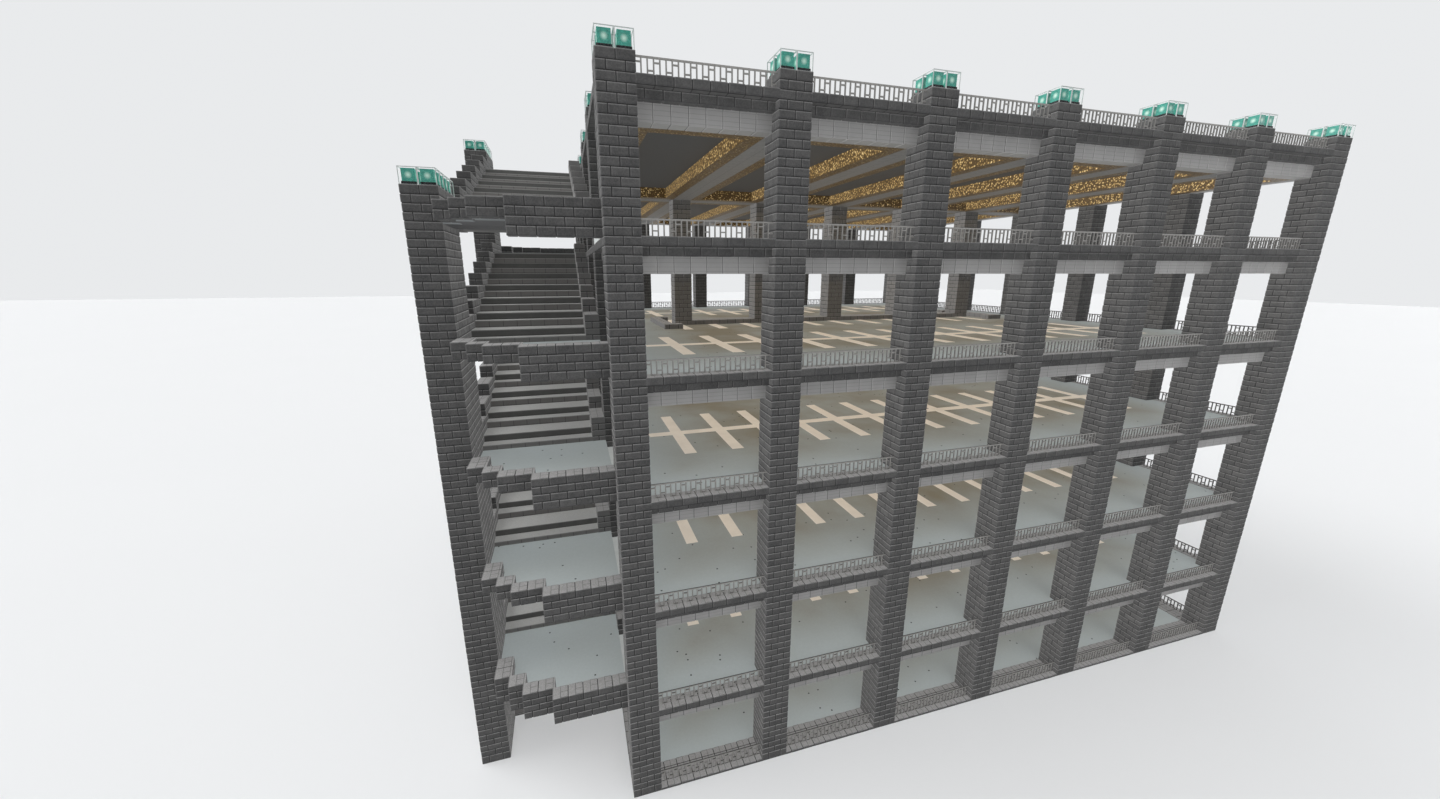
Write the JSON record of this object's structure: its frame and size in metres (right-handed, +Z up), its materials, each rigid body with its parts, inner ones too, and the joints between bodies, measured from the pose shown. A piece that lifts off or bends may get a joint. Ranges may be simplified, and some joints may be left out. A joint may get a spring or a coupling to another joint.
{
  "type": "multi storey car park, scale model at 1:2",
  "caption": "Open-sided multi storey car park with masonry columns, railed decks, lit beams and a side ramp tower, as a scale model.",
  "frame": {"origin": "centre of the bounding box in plan, at the underside of the building", "axes": "+Z up; the facade looks along -Y; +X to the right of the facade, with the ramp tower on -X"},
  "size_m": [36.5, 31, 25.1],
  "materials": {
    "cross_beams": "smooth light grey concrete panels",
    "deck_1": "smooth pale grey green concrete",
    "deck_2": "smooth pale grey green concrete",
    "deck_3": "smooth pale grey green concrete",
    "deck_4": "smooth pale grey green concrete",
    "deck_5": "smooth pale grey green concrete",
    "deck_kerbs": "dark grey masonry of rough blocks",
    "front_columns": "dark grey masonry of rough blocks",
    "front_edge_beams": "dark grey masonry of rough blocks",
    "front_landing_floors": "light grey concrete",
    "front_landing_walls": "dark grey masonry of rough blocks",
    "front_railings": "grey painted steel",
    "ground_slab": "smooth pale grey green concrete",
    "ground_strips": "dark grey masonry of rough blocks",
    "inner_ramp_walls": "dark grey masonry of rough blocks",
    "lantern_bases": "near black base",
    "lantern_glass": "clear glass in pale frames",
    "lantern_lamps": "teal lamp core",
    "left_columns": "dark grey masonry of rough blocks",
    "left_edge_beams": "dark grey masonry of rough blocks",
    "left_railings": "grey painted steel",
    "light_strips_1": "warm yellow speckled light strip",
    "light_strips_2": "warm yellow speckled light strip",
    "light_strips_3": "warm yellow speckled light strip",
    "light_strips_4": "warm yellow speckled light strip",
    "light_strips_5": "warm yellow speckled light strip",
    "light_strips_6": "warm yellow speckled light strip",
    "long_beams": "smooth light grey concrete panels",
    "middle_columns": "dark grey masonry of rough blocks",
    "outer_ramp_walls": "dark grey masonry of rough blocks",
    "perimeter_beams": "smooth light grey concrete panels",
    "ramps": "light grey concrete",
    "rear_columns": "dark grey masonry of rough blocks",
    "rear_edge_beams": "dark grey masonry of rough blocks",
    "rear_landing_floors": "light grey concrete",
    "rear_landing_walls": "dark grey masonry of rough blocks",
    "rear_railings": "grey painted steel",
    "right_columns": "dark grey masonry of rough blocks",
    "right_edge_beams": "dark grey masonry of rough blocks",
    "right_railings": "grey painted steel",
    "roof_deck": "smooth pale grey green concrete",
    "threshold_low_wall": "dark grey masonry of rough blocks",
    "threshold_slabs": "light grey concrete",
    "tower_front_column": "dark grey masonry of rough blocks",
    "tower_rear_column": "dark grey masonry of rough blocks"
  },
  "bodies": {
    "root": {"cross_beams": "cross_beams", "deck_1": "deck_1", "deck_2": "deck_2", "deck_3": "deck_3", "deck_4": "deck_4", "deck_5": "deck_5", "deck_kerbs": "deck_kerbs", "front_columns": "front_columns", "front_edge_beams": "front_edge_beams", "front_landing_floors": "front_landing_floors", "front_landing_walls": "front_landing_walls", "front_railings": "front_railings", "ground_slab": "ground_slab", "ground_strips": "ground_strips", "inner_ramp_walls": "inner_ramp_walls", "lantern_bases": "lantern_bases", "lantern_glass": "lantern_glass", "lantern_lamps": "lantern_lamps", "left_columns": "left_columns", "left_edge_beams": "left_edge_beams", "left_railings": "left_railings", "light_strips_1": "light_strips_1", "light_strips_2": "light_strips_2", "light_strips_3": "light_strips_3", "light_strips_4": "light_strips_4", "light_strips_5": "light_strips_5", "light_strips_6": "light_strips_6", "long_beams": "long_beams", "middle_columns": "middle_columns", "outer_ramp_walls": "outer_ramp_walls", "perimeter_beams": "perimeter_beams", "ramps": "ramps", "rear_columns": "rear_columns", "rear_edge_beams": "rear_edge_beams", "rear_landing_floors": "rear_landing_floors", "rear_landing_walls": "rear_landing_walls", "rear_railings": "rear_railings", "right_columns": "right_columns", "right_edge_beams": "right_edge_beams", "right_railings": "right_railings", "roof_deck": "roof_deck", "threshold_low_wall": "threshold_low_wall", "threshold_slabs": "threshold_slabs", "tower_front_column": "tower_front_column", "tower_rear_column": "tower_rear_column"}
  },
  "joints": []
}
